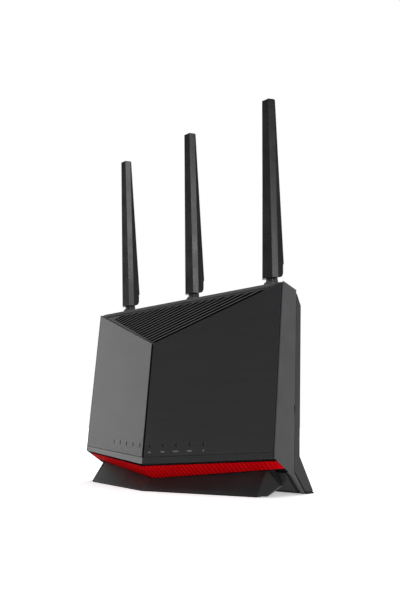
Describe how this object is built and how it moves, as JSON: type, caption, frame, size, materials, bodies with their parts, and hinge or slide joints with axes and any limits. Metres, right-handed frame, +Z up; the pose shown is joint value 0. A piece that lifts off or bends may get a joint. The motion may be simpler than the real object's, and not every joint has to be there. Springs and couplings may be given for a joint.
{
  "type": "wireless router",
  "caption": "Desktop wireless router with a keeled front of two dark panels, a red ribbed band, a splayed stand and folding blade antennas.",
  "frame": {"origin": "centre of the footprint, on the surface it stands on", "axes": "+Z up, -Y the ridged front, +X to the right seen from the front"},
  "size_m": [0.2374, 0.0854, 0.325],
  "materials": {
    "panel_grey": "satin",
    "shell_grey": "matte",
    "black_plastic": "matte",
    "red_gloss": "satin",
    "foot_black": "satin",
    "grey_collar": "satin",
    "rubber_black": "matte",
    "clear_guide": "gloss",
    "board_green": "satin",
    "chip_black": "matte",
    "heat_sink_alu": "satin",
    "can_steel": "satin",
    "socket_steel": "satin",
    "screw_steel": "satin",
    "brass_plated": "satin",
    "pad_grey": "matte",
    "paper_label": "matte",
    "lamp_white": "gloss"
  },
  "bodies": {
    "housing": {"front_panel_left": "panel_grey", "front_panel_right": "panel_grey", "lower_trim_strip": "panel_grey", "ridge_strip": "black_plastic", "front_shell": "shell_grey", "rear_shell": "shell_grey", "top_grille": "black_plastic", "accent_band": "red_gloss", "base_stand": "foot_black", "front_foot_pad": "rubber_black", "rear_foot_pads": "rubber_black", "label_plate": "paper_label", "main_board": "board_green", "processor_chip": "chip_black", "memory_chips": "chip_black", "radio_chips": "chip_black", "thermal_pads": "pad_grey", "heat_sink": "heat_sink_alu", "shield_cans": "can_steel", "lan_socket_block": "socket_steel", "wan_socket": "socket_steel", "fast_lan_socket": "socket_steel", "usb_sockets": "socket_steel", "dc_inlet": "black_plastic", "power_switch": "black_plastic", "reset_switch": "black_plastic", "side_switch_board": "board_green", "light_guide_right": "clear_guide", "light_guide_left": "clear_guide", "indicator_lamps": "lamp_white", "inner_antenna": "board_green", "antenna_connectors": "brass_plated", "connector_nuts": "brass_plated", "coax_leads": "black_plastic", "case_screws": "screw_steel", "board_screws": "screw_steel", "antenna_collars": "grey_collar"},
    "swivel_left": {"antenna_left_swivel": "black_plastic"},
    "blade_left": {"antenna_left_blade": "black_plastic", "antenna_left_spine": "black_plastic", "antenna_left_element": "board_green", "antenna_left_pin": "screw_steel"},
    "swivel_centre": {"antenna_centre_swivel": "black_plastic"},
    "blade_centre": {"antenna_centre_blade": "black_plastic", "antenna_centre_spine": "black_plastic", "antenna_centre_element": "board_green", "antenna_centre_pin": "screw_steel"},
    "swivel_right": {"antenna_right_swivel": "black_plastic"},
    "blade_right": {"antenna_right_blade": "black_plastic", "antenna_right_spine": "black_plastic", "antenna_right_element": "board_green", "antenna_right_pin": "screw_steel"},
    "power_button": {"power_button": "black_plastic"},
    "reset_button": {"reset_button": "grey_collar"},
    "wps_button": {"wps_button": "black_plastic"},
    "light_button": {"light_button": "black_plastic"}
  },
  "joints": [
    {"name": "left_antenna_swivel", "type": "hinge", "parent": "housing", "child": "swivel_left", "pos_m": [-0.09, 0.023, 0.1745], "axis": [0, 0, 1], "range_deg": [-180, 180]},
    {"name": "left_antenna_tilt", "type": "hinge", "parent": "swivel_left", "child": "blade_left", "pos_m": [-0.09, 0.023, 0.184], "axis": [-1, 0, 0], "range_deg": [0, 90]},
    {"name": "centre_antenna_swivel", "type": "hinge", "parent": "housing", "child": "swivel_centre", "pos_m": [0, 0.023, 0.1745], "axis": [0, 0, 1], "range_deg": [-180, 180]},
    {"name": "centre_antenna_tilt", "type": "hinge", "parent": "swivel_centre", "child": "blade_centre", "pos_m": [0, 0.023, 0.184], "axis": [-1, 0, 0], "range_deg": [0, 90]},
    {"name": "right_antenna_swivel", "type": "hinge", "parent": "housing", "child": "swivel_right", "pos_m": [0.09, 0.023, 0.1745], "axis": [0, 0, 1], "range_deg": [-180, 180]},
    {"name": "right_antenna_tilt", "type": "hinge", "parent": "swivel_right", "child": "blade_right", "pos_m": [0.09, 0.023, 0.184], "axis": [-1, 0, 0], "range_deg": [0, 90]},
    {"name": "power_press", "type": "slide", "parent": "housing", "child": "power_button", "axis": [0, -1, 0], "range_m": [0, 0.0025], "stiffness_N_per_m": 600},
    {"name": "reset_press", "type": "slide", "parent": "housing", "child": "reset_button", "axis": [0, -1, 0], "range_m": [0, 0.001], "stiffness_N_per_m": 500},
    {"name": "wps_press", "type": "slide", "parent": "housing", "child": "wps_button", "axis": [1, 0, 0], "range_m": [0, 0.0008], "stiffness_N_per_m": 500},
    {"name": "light_press", "type": "slide", "parent": "housing", "child": "light_button", "axis": [1, 0, 0], "range_m": [0, 0.0008], "stiffness_N_per_m": 500}
  ]
}
